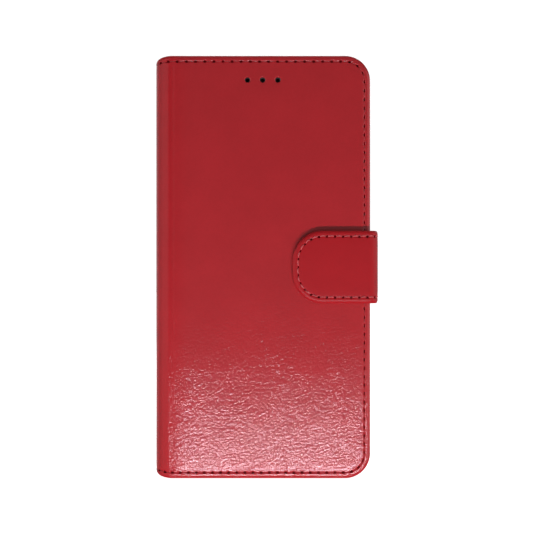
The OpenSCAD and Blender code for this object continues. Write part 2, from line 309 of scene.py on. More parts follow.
def make_sheet(
    name, place, path, rows, material, closed=True, seam=None, holes=(), relief=no_relief,
    pitch=(1.5, 5.0), slot=(0.5, 0.5), columns=(), shine=even_shine,
):
    """A closed sheet of leather, lining, board or plastic.

    rows go from the hidden face, round the edge, to the shown face, as (inset, depth, share of the
    relief, depth that a needle hole adds). holes are lists of (outline, rows from the shown face to
    the hidden one as (distance outside the outline, depth)). pitch is the spacing of the points on
    the shown and the hidden face, and slot the half length of a needle hole on upright and level seams.
    """
    line, inward = path
    count = len(line)
    parts, loops = [], []
    for inset, depth, share, pull in rows:
        points = line + inward * inset
        depths = np.full(count, float(depth)) + share * relief(points)
        needles = np.zeros(count)
        if seam is not None and pull:
            reach = slot[0] + (slot[1] - slot[0]) * inward[:, 1] ** 2
            gap = np.abs(seam.along[:count, None] - seam.holes).min(1)
            depths += pull * np.exp(-((gap / reach) ** 2))
            # The needle values mark each needle hole and how far its painted shade reaches
            away = abs(inset - seam.inset)
            level = inward[:, 1] ** 2
            edge = np.interp(away, (0.17, 0.28, 0.42), (1, 0.25, 0)) * (1 - level)
            edge += np.interp(away, (0.28, 0.42, 0.55), (1, 0.7, 0)) * level
            needles = np.exp(-((gap / reach) ** 2)) * edge
        loops.append((points, depths, needles))
    points, depths, needles = (np.concatenate(values) for values in zip(*loops))
    parts.append((points, depths, needles, bands(len(rows), count, count if closed else count - 1)))

    def ring(outline, outside):
        return outline[0] - outline[1] * outside

    for row, hole_row, spacing in ((-1, 0, pitch[0]), (0, -1, pitch[1])):
        loop = loops[row][0]
        if not closed:
            start, end = loop[0], loop[-1]
            steps = int(round(np.linalg.norm(start - end) / pitch[0]))
            closing = np.linspace(end, start, steps + 1)[1:-1]
            loop = np.concatenate([loop, closing])
        rings = [ring(outline, hole_rows[hole_row][0]) for outline, hole_rows in holes]
        flat, faces = fill(loop, rings, spacing, columns)
        depth = np.full(len(flat), float(rows[row][1]))
        if row == -1:
            depth += relief(flat)
        parts.append((flat, depth, np.zeros(len(flat)), faces.tolist()))
    for outline, hole_rows in holes:
        size = len(outline[0])
        rings = [ring(outline, outside) for outside, _ in hole_rows]
        levels = [np.full(size, float(depth)) for _, depth in hole_rows]
        levels[0] = np.full(size, float(rows[-1][1])) + relief(rings[0])
        levels[-1] = np.full(size, float(rows[0][1]))
        flat = np.concatenate(rings)
        parts.append((flat, np.concatenate(levels), np.zeros(len(flat)), bands(len(hole_rows), size, size)))
    return sheet_object(name, place, parts, material, shine)


def turned_rows(total, skin, rim, wall, pull):
    """The section of leather turned over an edge: hidden face, rim wall, rolled edge, seam, panel."""
    inset = SEAM_INSET
    return [
        (wall + 0.35, skin, 0, 0),
        (wall + 0.02, skin + 0.02, 0, 0),
        (wall, skin + 0.15, 0, 0),
        (wall, total - 0.08, 0, 0),
        (wall - 0.08, total, 0, 0),
        (0.3, total, 0, 0),
        (0.12, total - 0.06, 0, 0),
        (0.03, total - 0.2, 0, 0),
        (0.0, total - 0.45, 0, 0),
        (0.0, rim + 0.9, 0, 0),
        (0.02, rim + 0.68, 0, 0),
        (0.08, rim + 0.5, 0, 0),
        (0.18, rim + 0.37, 0, 0),
        (0.34, rim + 0.27, 0, 0),
        (0.6, rim + 0.15, 0, 0),
        (0.85, rim + 0.06, 0, 0),
        (1.05, rim + 0.015, 0.2, 0),
        (1.3, rim, 0.4, 0),
        (inset - 0.65, rim - 0.01, 0.4, 0),
        (inset - 0.42, rim, 0.3, 0.02),
        (inset - 0.28, rim + GROOVE * 0.1, 0.2, pull * 0.3),
        (inset - 0.17, rim + GROOVE * 0.8, 0, pull),
        (inset, rim + GROOVE, 0, pull),
        (inset + 0.17, rim + GROOVE * 0.8, 0, pull),
        (inset + 0.28, rim + GROOVE * 0.1, 0.2, pull * 0.3),
        (inset + 0.42, rim, 0.3, 0.02),
        (inset + 0.75, rim * 0.85, 0.6, 0),
        (inset + 1.4, rim * 0.55, 0.9, 0),
        (inset + 2.3, rim * 0.2, 1, 0),
        (inset + 3.3, 0.0, 1, 0),
    ]


def stitches(
    name, place, seam, material, lift, depth, width, height,
    lean=0.0, bow=0.0, clear=(0.12, 0.12), skip=None,
):
    """Separate two-ply stitches that rise out of one needle hole and dive into the next.

    clear is how far a stitch stays from its holes on upright and level seams, and lean how far its
    ends step across the seam. bow is how far its middle stands up on level seams, or across on others.
    """
    rings, sides = 11, 8
    t = np.linspace(0, 1, rings)
    verts, faces = [], []
    for k in range(len(seam.holes) - 1):
        first, last = seam.holes[k], seam.holes[k + 1]
        if skip is not None and skip((first + last) / 2):
            continue
        upright = abs(float(seam.at((first + last) / 2)[1][1]))
        gap = clear[1] + (clear[0] - clear[1]) * upright
        u = first + gap + (last - first - 2 * gap) * t
        flat, way = seam.at(u)
        across = np.stack([way[:, 1], -way[:, 0]], 1)
        raised = np.abs(way[:, :1]) * (0, 1) - np.abs(way[:, 1:]) * across
        flat = flat + across * (lean * (t - 0.5))[:, None] + raised * (bow * np.sin(np.pi * t))[:, None]
        rise = np.sin(np.pi * t) ** 0.55
        level = depth - lift * rise
        centre = place(flat[:, 0], flat[:, 1], level)
        ahead = place(flat[:, 0] + way[:, 0] * 0.05, flat[:, 1] + way[:, 1] * 0.05, level) - centre
        out = centre - place(flat[:, 0], flat[:, 1], level + 0.05)
        ahead /= np.linalg.norm(ahead, axis=1, keepdims=True)
        out /= np.linalg.norm(out, axis=1, keepdims=True)
        side = np.cross(ahead, out)
        size = 0.35 + 0.65 * np.sin(np.pi * np.clip(t, 0.02, 0.98)) ** 0.5
        base = len(verts)
        for i in range(rings):
            for j in range(sides):
                angle = 2 * math.pi * j / sides
                ply = 1 + 0.16 * math.cos(2 * (angle - 5.5 * t[i] - k))
                reach = size[i] * ply
                spot = (
                    centre[i]
                    + side[i] * (width * reach * math.cos(angle))
                    + out[i] * (height * reach * math.sin(angle))
                )
                verts.append(tuple(spot * MM))
        for i in range(rings - 1):
            for j in range(sides):
                a, b = base + i * sides + j, base + i * sides + (j + 1) % sides
                faces.append((a, b, b + sides, a + sides))
        faces.append(tuple(base + j for j in reversed(range(sides))))
        faces.append(tuple(base + (rings - 1) * sides + j for j in range(sides)))
    mesh = bmesh.new()
    placed = [mesh.verts.new(spot) for spot in verts]
    for face in faces:
        mesh.faces.new([placed[k] for k in face])
    return mesh_object(name, mesh, material, 60)


# ---------------------------------------------------------------- where each sheet lies
def floats(*values):
    """Arrays of one shape, of real numbers."""
    return np.broadcast_arrays(*(np.asarray(v, float) for v in values))


def cover_place(side):
    """Wraps a cover sheet round the spine: side is -1 for the front and 1 for the back."""

    def place(s, z, depth):
        s, z, depth = floats(s, z, depth)
        angle = np.clip((s - SPINE_FLAT) / SPINE_R, 0, math.pi / 2)
        past = np.maximum(s - CREASE_S, 0)
        x = CREASE_X + past - (SPINE_R - depth) * np.cos(angle)
        y = np.minimum(s, SPINE_FLAT) + (SPINE_R - depth) * np.sin(angle)
        # The ends of the spine are drawn in a little, so its corners look rounded
        middle = CASE_H / 2
        drawn = np.clip(1 - np.maximum(s, DRAW_FROM) / DRAW_S, 0, 1) ** 1.5
        drawn = drawn * np.clip((abs(z - middle) - middle + DRAW_Z) / DRAW_Z, 0, 1) ** 2
        return np.stack([x, MID_Y + side * y, z - np.sign(z - middle) * SPINE_DRAW * drawn], -1)

    return place


def spine_place(s, z, depth):
    """Wraps a strip round the whole spine, from the front crease to the back one."""
    s, z, depth = floats(s, z, depth)
    return np.where((s < 0)[..., None], cover_place(-1)(-s, z, depth), cover_place(1)(s, z, depth))


def strap_turn(side):
    """How the strap turns at one end of its side: (bow, radius, straight run before it, its length)."""
    fold = FOLD_Y if side < 0 else ANCHOR_Y
    bow = FOLD_BOW if side < 0 else 0.0
    radius = STRAP_T + bow
    return bow, radius, abs(fold - SIDE_MID_Y) - bow, radius * math.pi / 2


def strap_place(side):
    """Wraps the strap round the fore-edge: side is -1 towards the flap and 1 towards the anchor."""
    bow, radius, straight, bend = strap_turn(side)

    def place(s, z, depth):
        s, z, depth = floats(s, z, depth)
        angle = np.clip((s - straight) / radius, 0, math.pi / 2)
        past = np.maximum(s - straight - bend, 0)
        if side > 0:
            # The strap thins to the sheet that is glued under the back leather
            thin = np.clip((s - straight + 1) / (bend + 1), 0, 1)
            depth = depth * (1 - 0.73 * thin * thin * (3 - 2 * thin))
        x = STRAP_IN_X - bow - past + (radius - depth) * np.cos(angle)
        y = np.minimum(s, straight) + (radius - depth) * np.sin(angle)
        return np.stack([x, SIDE_MID_Y + side * y, z], -1)

    return place


SIDE_S = abs(ANCHOR_Y - SIDE_MID_Y) + STRAP_T * math.pi / 2
TAIL_S = SIDE_S + STRAP_IN_X - tab_low[0]
FLAP_S = (
    abs(FOLD_Y - SIDE_MID_Y) + STRAP_T * math.pi / 2 + STRAP_IN_X - flap_low[0] - FOLD_BOW * (2 - math.pi / 2)
)


def flat_place(face_y):
    """A flat sheet: depth runs from its shown face towards the front in Y."""

    def place(s, z, depth):
        s, z, depth = floats(s, z, depth)
        return np.stack([s, face_y - depth, z], -1)

    return place


# ---------------------------------------------------------------- materials
class Graph:
    """The nodes of one material or world, with short ways to add to them."""

    def __init__(self, tree):
        self.tree = tree

    def feed(self, node, inputs):
        """Gives inputs their values: a node's output is linked, and anything else is set."""
        for key, value in inputs.items():
            if isinstance(value, bpy.types.NodeSocket):
                self.tree.links.new(value, node.inputs[key])
            else:
                node.inputs[key].default_value = value

    def node(self, kind, inputs=None, **settings):
        made = self.tree.nodes.new("ShaderNode" + kind)
        for key, value in settings.items():
            setattr(made, key, value)
        self.feed(made, inputs or {})
        return made

    def maths(self, operation, *values, clamp=False):
        return self.node("Math", dict(enumerate(values)), operation=operation, use_clamp=clamp).outputs[0]

    def ramp(self, source, low, high):
        """0 below low, 1 above high, and a smooth rise between them."""
        inputs = {"Value": source, "From Min": low, "From Max": high}
        return self.node("MapRange", inputs, interpolation_type="SMOOTHSTEP").outputs[0]

    def line(self, source, level, width):
        """0 along the line where a pattern crosses a level, and 1 further off than a width."""
        return self.ramp(self.maths("ABSOLUTE", self.maths("SUBTRACT", source, level)), 0.0, width)

    def blend(self, share, first, second):
        """The first colour where share is 0, and the second where it is 1."""
        first, second = ((*v, 1) if isinstance(v, tuple) else v for v in (first, second))
        inputs = {"Factor": share, "A": first, "B": second}
        return self.node("Mix", inputs, data_type="RGBA").outputs["Result"]

    def stretched(self, source, size, turn):
        """Coordinates turned about the sheet's normal, then divided by a size along each axis."""
        inputs = {"Vector": source, "Rotation": (0, 0, math.radians(turn)), "Scale": size}
        return self.node("Mapping", inputs, vector_type="TEXTURE").outputs[0]

    def pattern(self, source, scale, detail=3.0, rough=0.5, distort=0.0):
        inputs = {"Vector": source, "Scale": scale, "Detail": detail, "Roughness": rough}
        return self.node("TexNoise", {**inputs, "Distortion": distort}).outputs["Fac"]


def new_material(name):
    made = bpy.data.materials.new(name)
    made.use_nodes = True
    return made, Graph(made.node_tree), made.node_tree.nodes["Principled BSDF"]


# Long creases in the leather: slant in degrees, length and width in metres, level in the noise
LONG_CREASES = (
    (38, (0.03, 0.0042, 1), 0.5),
    (12, (0.022, 0.0036, 1), 0.49),
    (64, (0.03, 0.005, 1), 0.51),
)
# Painted shade: the dark red that the needle holes are coloured, standing in for the shadow inside them
HOLE_SHADE_RED = (0.13, 0.001, 0.0035)


def leather(name, colour, dark, gloss, grain, rough, fine=1.0, coat_rough=0.11):
    """Coated leather: wrinkled grain, long creases, mottling, painted shade in grain valleys and needle
    holes.
    """
    made, graph, shader = new_material(name)
    sheet = graph.node("Attribute", attribute_name="sheet").outputs["Vector"]
    needle = graph.node("Attribute", attribute_name="needle").outputs["Fac"]
    shine = graph.node("Attribute", attribute_name="shine").outputs["Fac"]

    # Wrinkles: cells about a millimetre across, pulled out of shape by noise
    warp = graph.node("TexNoise", {"Vector": sheet, "Scale": 420, "Detail": 2}).outputs["Color"]
    inputs = {0: warp, 1: (0.0014, 0.0014, 0.0014), 2: sheet}
    warped = graph.node("VectorMath", inputs, operation="MULTIPLY_ADD").outputs[0]
    slanted = graph.stretched(warped, (1.15, 0.85, 1), 20)
    inputs = {"Scale": 1020 * fine, "Randomness": 0.9, "Vector": slanted}
    cells = graph.node("TexVoronoi", inputs).outputs["Distance"]
    pebbles = graph.maths("MULTIPLY_ADD", graph.maths("POWER", cells, 2.0), -1.5, 1.0, clamp=True)
    worms = graph.line(graph.pattern(warped, 780 * fine, 2.0, 0.5, 0.7), 0.5, 0.1)
    # Long creases at a slant, in patches
    creases = graph.ramp(graph.pattern(sheet, 50, 2), 0.46, 0.6)
    lines = None
    for turn, size, level in LONG_CREASES:
        streaks = graph.pattern(graph.stretched(sheet, size, turn), 1.0, 2.0, 0.6, 0.3)
        cut = graph.line(streaks, level, 0.03)
        lines = cut if lines is None else graph.maths("MINIMUM", lines, cut)
    creases = graph.maths("MAXIMUM", lines, creases)

    height = graph.maths("MULTIPLY_ADD", pebbles, 0.85, graph.maths("MULTIPLY", worms, 0.2))
    height = graph.maths("MULTIPLY_ADD", creases, 0.35, height)
    height = graph.maths("MULTIPLY_ADD", graph.pattern(sheet, 3800, 2), 0.06, height)
    # The grain is deepest towards the bottom edge
    up = graph.node("SeparateXYZ", {0: sheet}).outputs["Y"]
    calm = graph.maths("MULTIPLY_ADD", graph.ramp(up, 0.01, 0.075), -0.72, 1.0)
    height = graph.maths("MULTIPLY", height, calm)
    bump = graph.node("Bump", {"Strength": 1.0, "Distance": grain, "Height": height}).outputs[0]

    # Colour: soft mottling, painted shade a little darker in the grain's valleys, painted shade inside the
    # needle holes
    mottle = graph.ramp(graph.pattern(sheet, 60, 4, 0.6), 0.3, 0.7)
    base = graph.blend(graph.maths("MULTIPLY", mottle, 0.25), colour, dark)
    # Painted shade: the grain's valleys are darkened towards the deep red
    valley_shade = graph.maths("SUBTRACT", 1.0, pebbles, clamp=True)
    base = graph.blend(graph.maths("MULTIPLY", valley_shade, 0.16), base, dark)
    # Painted shade: the needle holes are coloured dark red where their shadow falls
    hole_shade = graph.ramp(needle, 0.3, 0.62)
    spread = graph.maths("MULTIPLY_ADD", graph.pattern(sheet, 300, 3), 0.16, rough - 0.08)
    polish = graph.maths("MULTIPLY_ADD", hole_shade, -gloss, gloss, clamp=True)
    graph.feed(shader, {
        "Base Color": graph.blend(hole_shade, base, HOLE_SHADE_RED),
        "Roughness": graph.maths("MULTIPLY_ADD", hole_shade, 0.5, spread, clamp=True),
        "Specular IOR Level": 0.06,
        "Normal": bump,
        "Coat Weight": graph.maths("MULTIPLY", polish, shine, clamp=True),
        "Coat Roughness": coat_rough,
        "Coat Normal": bump,
    })
    return made


def simple(name, colour, rough, scale, bump_mm, second=None, metal=0.0, sheen=0.0):
    """A plain surface with fine noise in its colour, roughness and relief."""
    made, graph, shader = new_material(name)
    speck = graph.pattern(graph.node("TexCoord").outputs["Object"], scale, 4, 0.6)
    second = second or tuple(v * 0.7 for v in colour)
    graph.feed(shader, {
        "Base Color": graph.blend(graph.ramp(speck, 0.3, 0.75), colour, second),
        "Roughness": graph.maths("MULTIPLY_ADD", speck, 0.2, rough - 0.1),
        "Metallic": metal,
        "Sheen Weight": sheen,
        "Normal": graph.node("Bump", {"Distance": bump_mm * MM, "Height": speck}).outputs[0],
    })
    return made


DEEP_RED = (0.34, 0.008, 0.012)
red_leather = leather(
    "red_coated_leather", (0.49, 0.0125, 0.0195), DEEP_RED, 1.0, 0.000046, 0.5, coat_rough=0.16
)
strap_leather = leather(
    "red_strap_leather", (0.46, 0.0085, 0.0145), DEEP_RED, 0.24, 0.000006, 0.5, coat_rough=0.26
)
lining_leather = leather(
    "red_lining_leather", (0.30, 0.012, 0.017), (0.2, 0.007, 0.011), 0.0, 0.00003, 0.62, fine=1.7
)
thread_red = simple("red_thread", (0.4, 0.012, 0.018), 0.6, 5200, 0.03, (0.28, 0.009, 0.013), sheen=0.1)
# Painted highlight: the strap's thread is the cover's red thread, coloured lighter and pinker as if lit
strap_thread_painted_highlight = simple("red_strap_thread_highlit", (0.64, 0.1, 0.11), 0.6, 5200, 0.03, (0.5, 0.05, 0.058), sheen=0.15)
black_tpu = simple("black_soft_plastic", (0.012, 0.012, 0.013), 0.42, 2600, 0.006, (0.018, 0.018, 0.02))
# Near-black pulp board; where it shows inside the speaker holes, its darkness is also painted shade
board_and_hole_shade = simple("pulp_board_and_hole_shade", (0.035, 0.032, 0.031), 0.9, 1500, 0.03)
disc_metal = simple("nickel_plate", (0.72, 0.72, 0.74), 0.28, 900, 0.002, metal=1.0)
foam_tape = simple("white_foam_tape", (0.8, 0.8, 0.77), 0.8, 2200, 0.02)


# ---------------------------------------------------------------- relief and polish
def waves(points, scale, seed):
    return np.array([noise.noise(Vector((s / scale, z / scale, seed))) for s, z in points])


def cover_relief(seed):
    """The pressed line at the crease, and a slight unevenness that is weaker round the spine."""

    def relief(points):
        s = points[:, 0]
        groove = 0.16 * np.exp(-(((s - CREASE_S) / 1.1) ** 2))
        soft = 0.05 * waves(points, 18, seed) + 0.02 * waves(points, 5.5, seed + 7)
        calm = np.clip((s - CREASE_S + 2) / 6, 0.15, 1)
        return groove + soft * calm

    return relief


def lining_relief(points):
    s = points[:, 0]
    return -0.12 * np.exp(-(((s - CREASE_S) / 0.9) ** 2)) + 0.02 * waves(points, 9, 3.3)


def flap_relief(points):
    return 0.03 * waves(points, 9, 2.2)


def cover_shine(points):
    """The seam's groove and the spine are less polished than the flat of the cover."""
    s, z = points[:, 0], points[:, 1]
    edge = np.minimum(np.minimum(z, CASE_H - z), COVER_S - s)
    turn_s, turn_z = s - (COVER_S - CORNER_R), abs(z - CASE_H / 2) - (CASE_H / 2 - CORNER_R)
    corner = (turn_s > 0) & (turn_z > 0)
    edge = np.where(corner, CORNER_R - np.hypot(turn_s, turn_z), edge)
    groove = np.exp(-(((edge - SEAM_INSET) / 0.33) ** 4))
    spine = 0.32 + 0.68 * np.clip((s - CREASE_S + 1.5) / 8, 0, 1)
    return (1 - 0.88 * groove) * spine


# ---------------------------------------------------------------- the covers
cover_corners = [(0, CASE_H, 0), (COVER_S, CASE_H, CORNER_R), (COVER_S, 0, CORNER_R), (0, 0, 0)]
cover_path = rounded_path(cover_corners, PATH_STEP, closed=False)
lining_path = rounded_path(cover_corners, PATH_STEP * 2, closed=False)
cover_seam = Seam(cover_path, SEAM_INSET, STITCH_PITCH, STITCH_DRIFT)
inner_seam = Seam(lining_path, SEAM_INSET, STITCH_PITCH, STITCH_DRIFT)
cover_columns = np.concatenate(
    [np.arange(0.6, CREASE_S - 1.9, 1.2), np.linspace(CREASE_S - 1.6, CREASE_S + 1.6, 11)]
)

# Three speaker holes near the top of the front cover
HOLE_R = 1.05
HOLE_PITCH = 5.9
HOLE_DROP = 9.5
hole_s = COVER_S - (FORE_X - SPINE_X) / 2


def speaker_holes(r, count, rows):
    return [(circle_path(hole_s + k * HOLE_PITCH, CASE_H - HOLE_DROP, r, count), rows) for k in (-1, 0, 1)]


# Camera window of the back, as distances of its sides from the fore-edge and from the top
WINDOW_NEAR, WINDOW_FAR = 6.5, 30.5
WINDOW_TOP, WINDOW_BOTTOM = 9, 43
WINDOW_RADII = (5, 5, 5, 5)
WINDOW_EDGE = 0.15
window_outline = box_path(
    COVER_S - WINDOW_FAR + WINDOW_EDGE, COVER_S - WINDOW_NEAR - WINDOW_EDGE,
    CASE_H - WINDOW_BOTTOM + WINDOW_EDGE, CASE_H - WINDOW_TOP - WINDOW_EDGE, WINDOW_RADII, 0.5,
)
window_rows = [
    (0.75, 0), (0.45, 0.03), (0.18, 0.13), (0.03, 0.34), (0.0, 0.7), (0.0, COVER_T - 0.25),
    (0.06, COVER_T - 0.03), (0.2, COVER_T), (0.45, COVER_T), (0.55, COVER_T - 0.1),
    (0.6, SKIN_T + 0.1), (0.8, SKIN_T),
]

leather_rows = turned_rows(COVER_T, SKIN_T, 0.05, TURN_T, 0.45)
cover_look = {"slot": (0.68, 0.6), "columns": cover_columns, "shine": cover_shine}
front_leather = make_sheet(
    "front_leather", cover_place(-1), cover_path, leather_rows, red_leather, False, cover_seam,
    speaker_holes(HOLE_R, 32, [(0.45, 0), (0.2, 0.02), (0.05, 0.07), (0.0, 0.18), (0.0, SKIN_T)]),
    cover_relief(1.3), **cover_look,
)
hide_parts("front_skin", "spine_skin")
back_leather = make_sheet(
    "back_leather", cover_place(1), cover_path, leather_rows, red_leather, False, cover_seam,
    [(window_outline, window_rows)], cover_relief(5.1), **cover_look,
)
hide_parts("back_skin")

lining_edge = TURN_T - 0.03
lining_low, lining_top = COVER_T - LINING_T + 0.02, COVER_T + 0.02
lining_rows = [
    (lining_edge + 0.4, lining_low, 0, 0),
    (lining_edge, lining_low, 0, 0),
    (lining_edge, lining_top - 0.12, 0, 0),
    (lining_edge + 0.05, lining_top - 0.02, 0, 0),
    (lining_edge + 0.2, lining_top, 0, 0),
    (SEAM_INSET - 0.5, lining_top + 0.01, 0, 0),
    (SEAM_INSET - 0.3, lining_top - 0.08, 0, 0.05),
    (SEAM_INSET, lining_top - 0.16, 0, 0.1),
    (SEAM_INSET + 0.3, lining_top - 0.08, 0, 0.05),
    (SEAM_INSET + 0.6, lining_top + 0.01, 0, 0),
    (SEAM_INSET + 1.6, lining_top, 1, 0),
]
front_lining = make_sheet(
    "front_lining_sheet", cover_place(-1), lining_path, lining_rows, lining_leather, False, inner_seam,
    speaker_holes(HOLE_R, 24, [(0.25, 0), (0.03, COVER_T - 0.08), (0.0, COVER_T - 0.2), (0.0, 0)]),
    lining_relief, (3.0, 6.0), columns=cover_columns,
)
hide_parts("front_lining", "spine_lining")
back_lining = make_sheet(
    "back_lining_sheet", cover_place(1), lining_path, lining_rows, lining_leather, False, inner_seam,
    [(window_outline, [(0.85, 0), (0.7, COVER_T - 0.06), (0.66, COVER_T - 0.2), (0.66, 0)])],
    lining_relief, (3.0, 6.0), columns=cover_columns,
)
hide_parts("back_lining")

cover_stitch = {"lift": 0.26, "depth": 0.4, "width": 0.17, "height": 0.1, "clear": (0.7, 0.5)}
front_stitches = stitches("front_stitches", cover_place(-1), cover_seam, thread_red, **cover_stitch)
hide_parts("front_edge_thread", "spine_thread")
back_stitches = stitches("back_stitches", cover_place(1), cover_seam, thread_red, **cover_stitch)
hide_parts("back_edge_thread")

# The covers' leather, lining and stitches have their placing baked into their meshes
for piece in (front_leather, front_lining, front_stitches):
    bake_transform(piece)
for piece in (back_leather, back_lining, back_stitches):
    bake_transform(piece)

# The boards stop short of the creases, so that the leather can turn there
BOARD_R = 0.3
board_edge = TURN_T + 0.02
board_path = box_path(
    CREASE_S + BOARD_GAP, COVER_S - board_edge, board_edge, CASE_H - board_edge,
    (BOARD_R, CORNER_R - TURN_T, CORNER_R - TURN_T, BOARD_R), 1.2,
)
board_back = COVER_T - LINING_T


def board_rows(face):
    """The section of a board whose outer face lies at a depth."""
    levels = ((0.4, board_back), (0, board_back - 0.05), (0, SKIN_T + 0.05), (0.4, face))
    return [(inset, depth, 0, 0) for inset, depth in levels]


# The board's speaker holes are narrower than the leather's, so its near-black rim shows in them as painted
# shade
front_board = make_sheet(
    "front_board_sheet", cover_place(-1), board_path, board_rows(SKIN_T + 0.01), board_and_hole_shade,
    holes=speaker_holes(0.72, 24, [(0, SKIN_T), (-0.02, board_back)]), pitch=(6.0, 6.0),
)
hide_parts("front_board")
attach(front_board, "front_cover")
back_board = make_sheet(
    "back_board_sheet", cover_place(1), board_path, board_rows(SKIN_T + 0.01), board_and_hole_shade,
    holes=[(window_outline, [(0.75, SKIN_T + 0.01), (0.73, board_back)])], pitch=(6.0, 6.0),
)
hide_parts("back_board")
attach(back_board, "back_cover")

spine_end = TURN_T + 0.05
spine_reach = CREASE_S - BOARD_GAP
spine_path = box_path(-spine_reach, spine_reach, spine_end, CASE_H - spine_end, (1, 1, 1, 1), 1.0)
spine_board = make_sheet(
    "spine_board_strip", spine_place, spine_path, board_rows(SKIN_T), board_and_hole_shade, pitch=(1.5, 1.5)
)
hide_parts("spine_board")
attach(spine_board, "spine")

# ---------------------------------------------------------------- the strap
flap_path = rounded_path(
    [(0, STRAP_HIGH, 0), (FLAP_S, STRAP_HIGH, FLAP_R), (FLAP_S, STRAP_LOW, FLAP_R), (0, STRAP_LOW, 0)],
    PATH_STEP, closed=False,
)
tail_path = rounded_path(
    [(0, STRAP_HIGH, 0), (TAIL_S, STRAP_HIGH, 3), (TAIL_S, STRAP_LOW, 3), (0, STRAP_LOW, 0)],
    PATH_STEP, closed=False,
)
flap_seam = Seam(flap_path, SEAM_INSET, 3.1)
tail_seam = Seam(tail_path, SEAM_INSET, 3.1)
strap_rows = turned_rows(STRAP_T, 0.7, 0.04, TURN_T - 0.1, 0.35)


def fold_columns(side):
    """Where the strap's sheets need columns: round its turn at the flap or at the anchor."""
    start, turn = strap_turn(side)[2:]
    count = int(round((turn + 0.6) / 0.35)) + 1
    return np.linspace(start - 0.3, start + turn + 0.3, count)


flap_leather = make_sheet(
    "strap_flap_leather", strap_place(-1), flap_path, strap_rows, strap_leather, False, flap_seam,
    relief=flap_relief, pitch=(1.0, 3.0), columns=fold_columns(-1),
)
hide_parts("strap_flap_skin", "strap_side_skin")
tail_leather = make_sheet(
    "strap_base_leather", strap_place(1), tail_path, strap_rows, strap_leather, False, tail_seam,
    relief=flap_relief, pitch=(1.0, 3.0), columns=fold_columns(1),
)
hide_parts("strap_anchor_tab")

strap_lining_rows = [
    (0.78, 1.42, 0, 0),
    (0.48, 1.42, 0, 0),
    (0.48, STRAP_T - 0.1, 0, 0),
    (0.54, STRAP_T - 0.01, 0, 0),
    (0.68, STRAP_T + 0.02, 0, 0),
    (SEAM_INSET - 0.4, STRAP_T + 0.02, 0, 0),
    (SEAM_INSET - 0.2, STRAP_T - 0.08, 0, 0.05),
    (SEAM_INSET, STRAP_T - 0.14, 0, 0.08),
    (SEAM_INSET + 0.2, STRAP_T - 0.08, 0, 0.05),
    (SEAM_INSET + 0.5, STRAP_T + 0.02, 0, 0),
]
flap_lining = make_sheet(
    "strap_flap_lining_sheet", strap_place(-1), flap_path, strap_lining_rows, lining_leather, False,
    flap_seam, pitch=(1.5, 3.0), columns=fold_columns(-1),
)
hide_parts("strap_flap_lining", "strap_side_lining")
tail_lining = make_sheet(
    "strap_base_lining_sheet", strap_place(1), tail_path, strap_lining_rows, lining_leather, False,
    tail_seam, pitch=(1.5, 3.0), columns=fold_columns(1),
)
strap_stitch = {
    "lift": 0.34, "depth": 0.28, "width": 0.24, "height": 0.16, "lean": 0.1, "bow": 0.26,
    "clear": (0.42, 0.42),
}
flap_stitches = stitches("strap_flap_stitches", strap_place(-1), flap_seam, strap_thread_painted_highlight, **strap_stitch)
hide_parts("strap_flap_thread", "strap_side_thread")
# The tail's seam runs only as far as the fold, and not round the glued end
tail_stitches = stitches(
    "strap_base_stitches", strap_place(1), tail_seam, strap_thread_painted_highlight, **strap_stitch,
    skip=lambda u: SIDE_S - 1 < u < tail_seam.length - SIDE_S + 1,
)
for piece in (flap_leather, flap_lining, flap_stitches):
    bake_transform(piece)
for piece in (tail_leather, tail_lining, tail_stitches):
    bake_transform(piece)


# ---------------------------------------------------------------- pockets inside the front cover
def pocket_panel(name, node, radii, mouth):
    """A thin panel with soft edges, a slight swell and a pressed line at a distance from its mouth."""
    low, high = span(node)
    thick = high[1] - low[1]
    rows = [
        (0.5, thick, 0, 0),
        (0.0, thick, 0, 0),
        (0.0, 0.16, 0, 0),
        (0.05, 0.05, 0, 0),
        (0.18, 0.0, 0, 0),
        (0.6, -0.02, 1, 0),
    ]

    def relief(points):
        pressed = 0.09 * np.exp(-(((points[:, 0] - (low[0] + mouth)) / 0.3) ** 2))
        return pressed - 0.032 * waves(points, 14, low[0]) ** 2

    path = box_path(low[0], high[0], low[2], high[2], radii, 0.8)
    made = make_sheet(name, flat_place(high[1]), path, rows, lining_leather, relief=relief, pitch=(1.4, 5.0))
    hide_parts(node)
    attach(made, "front_cover")
    return made


pocket_panels = [pocket_panel("cash_pocket_panel", "cash_pocket", (2.5, 1.0, CORNER_R - 1, 2.5), 2.2)]
for i in (1, 2, 3):
    pocket_panels.append(pocket_panel(f"card_pocket_panel_{i}", f"card_pocket_{i}", (3, 0.6, 0.6, 3), 2.0))

# Seams that hold the card pockets: top and bottom of each step, then down the fore-edge side
card_spans = [span(f"card_pocket_{i}") for i in (1, 2, 3)]
levels = [(low[0], high[1]) for low, high in card_spans]


def pocket_place(s, z, depth):
    s, z, depth = floats(s, z, depth)
    y = np.full(s.shape, levels[0][1])
    for start, level in levels[1:]:
        y = np.where(s > start, level, y)
    return np.stack([s, y - depth, z], -1)


pocket_low, pocket_high = span("pocket_thread")
pocket_path = rounded_path(
    [
        (pocket_low[0], pocket_high[2] - 0.3, 0),
        (pocket_high[0] - 0.3, pocket_high[2] - 0.3, 0.8),
        (pocket_high[0] - 0.3, pocket_low[2] + 0.3, 0.8),
        (pocket_low[0], pocket_low[2] + 0.3, 0),
    ],
    0.6, closed=False,
)
pocket_seam = Seam(pocket_path, 0.0, 3.0)
pocket_stitches = stitches("pocket_stitches", pocket_place, pocket_seam, thread_red, 0.24, 0.16, 0.24, 0.14)
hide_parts("pocket_thread")
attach(pocket_stitches, "front_cover")


